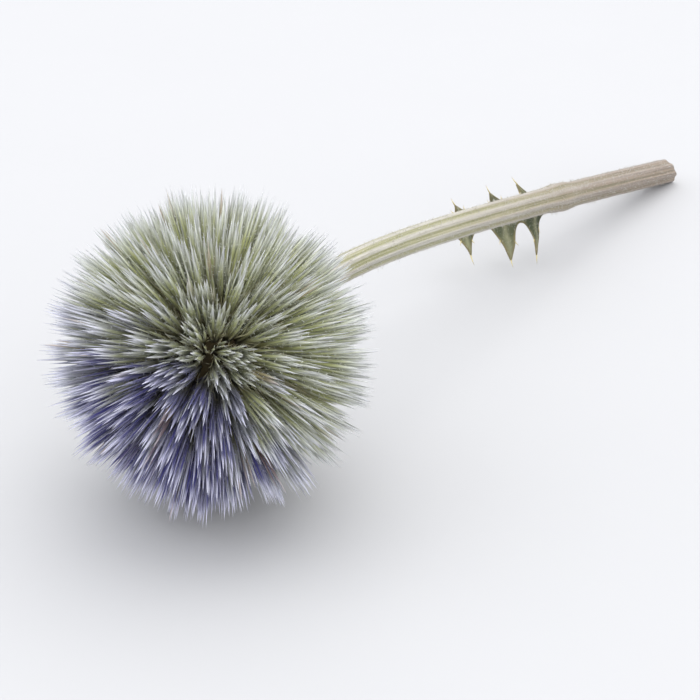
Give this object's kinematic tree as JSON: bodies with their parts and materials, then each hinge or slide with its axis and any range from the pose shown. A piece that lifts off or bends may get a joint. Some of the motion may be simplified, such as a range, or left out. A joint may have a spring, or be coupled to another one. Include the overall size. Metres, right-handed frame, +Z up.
{
  "type": "globe thistle flower head",
  "caption": "Dried globe thistle bloom: a ball of fine spiky florets on a ribbed cut stem with one small spiny leaf, lying down",
  "frame": {"origin": "middle of the base of the bounding box, on the surface that the flower lies on", "axes": "+X along the stem from the flower head to the cut end, +Z up"},
  "size_m": [0.1578, 0.0452, 0.046],
  "materials": {
    "florets": "matt, dry and papery, violet-blue at the far side and silver-green by the stem",
    "stem": "matt, dry, lightly felted, ribbed lengthways",
    "leaf": "matt, dry, dark green above and white felt below"
  },
  "bodies": {
    "root": {"flower_head": "florets", "stem": "stem", "stem_leaf": "leaf"}
  },
  "joints": []
}
